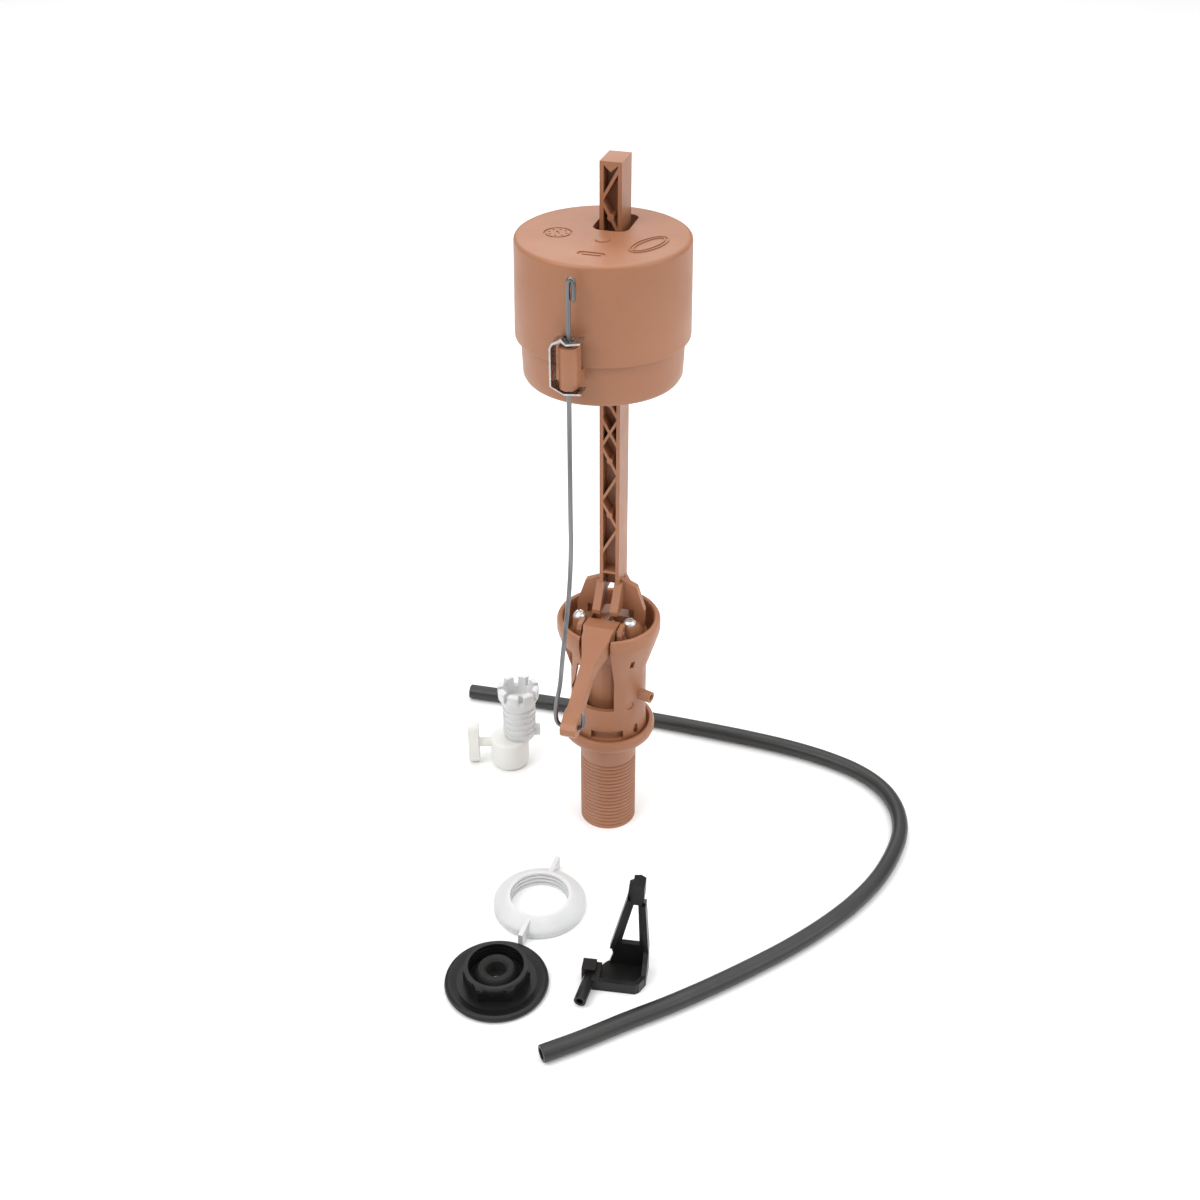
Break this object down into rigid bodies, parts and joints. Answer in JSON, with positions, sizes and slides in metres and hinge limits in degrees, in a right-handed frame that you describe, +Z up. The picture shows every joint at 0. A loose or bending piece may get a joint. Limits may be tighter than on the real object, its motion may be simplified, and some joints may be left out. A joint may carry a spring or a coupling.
{
  "type": "float valve",
  "caption": "Tank float valve: threaded shank, crowned body, ribbed mast, sliding cup float, link rod and lever, with its loose nuts, refill clip, regulator and hose.",
  "frame": {"origin": "middle of the threaded shank's open bottom end", "axes": "+Z up along the shank, mast behind the axis towards +Y, lever and link rod in front towards -Y, refill outlet towards +X"},
  "size_m": [0.2034, 0.196, 0.271],
  "materials": {
    "tan_plastic": "satin moulded acetal, copper tan",
    "white_plastic": "satin white polypropylene",
    "clear_nylon": "milky translucent nylon",
    "black_plastic": "satin black nylon",
    "black_rubber": "matt rubber",
    "hose_rubber": "smooth satin vinyl hose",
    "steel": "drawn stainless wire and strip"
  },
  "bodies": {
    "valve": {"valve_body": "tan_plastic", "inlet_screen": "white_plastic", "seat_ring": "white_plastic", "diaphragm": "black_rubber", "valve_cap": "tan_plastic", "cap_seal": "black_rubber", "cap_screws": "steel", "mast": "tan_plastic", "lever_pin": "steel", "coupling_nut": "black_plastic", "cone_washer": "black_rubber", "lock_nut": "clear_nylon", "refill_clip": "black_plastic", "regulator_body": "white_plastic", "regulator_barrel": "clear_nylon", "refill_hose": "hose_rubber"},
    "lever_arm": {"lever": "tan_plastic"},
    "pilot": {"plunger": "white_plastic", "plunger_tip": "black_rubber"},
    "rod": {"link_rod": "steel"},
    "float": {"float_shell": "tan_plastic", "float_cup": "tan_plastic"},
    "clip": {"adjust_clip": "steel"},
    "handle": {"regulator_handle": "white_plastic", "regulator_seal": "black_rubber"}
  },
  "joints": [
    {"name": "lever_swing", "type": "hinge", "parent": "valve", "child": "lever_arm", "pos_m": [0, -0.01, 0.0975], "axis": [-1, 0, 0], "range_deg": [0, 10]},
    {"name": "pilot_press", "type": "slide", "parent": "valve", "child": "pilot", "axis": [0, 0, -1], "range_m": [0, 0.0018]},
    {"name": "rod_lift", "type": "slide", "parent": "valve", "child": "rod", "axis": [0, 0, 1], "range_m": [0, 0.0068]},
    {"name": "level_adjust", "type": "slide", "parent": "rod", "child": "float", "axis": [0, 0, 1], "range_m": [-0.058, 0.01]},
    {"name": "clip_release", "type": "hinge", "parent": "float", "child": "clip", "pos_m": [-0.0065, -0.0422, 0.2192], "axis": [0, 1, 0], "range_deg": [0, 5], "stiffness_Nm_per_rad": 0.02},
    {"name": "handle_turn", "type": "hinge", "parent": "valve", "child": "handle", "pos_m": [-0.0495, 0.019, 0.0106], "axis": [0.9588, 0.284, 0], "range_deg": [0, 90]}
  ],
  "couplings": [
    {"joint": "lever_swing", "follows": "rod_lift", "rad_per_m": 25.667},
    {"joint": "pilot_press", "follows": "rod_lift", "ratio": 0.2647}
  ]
}
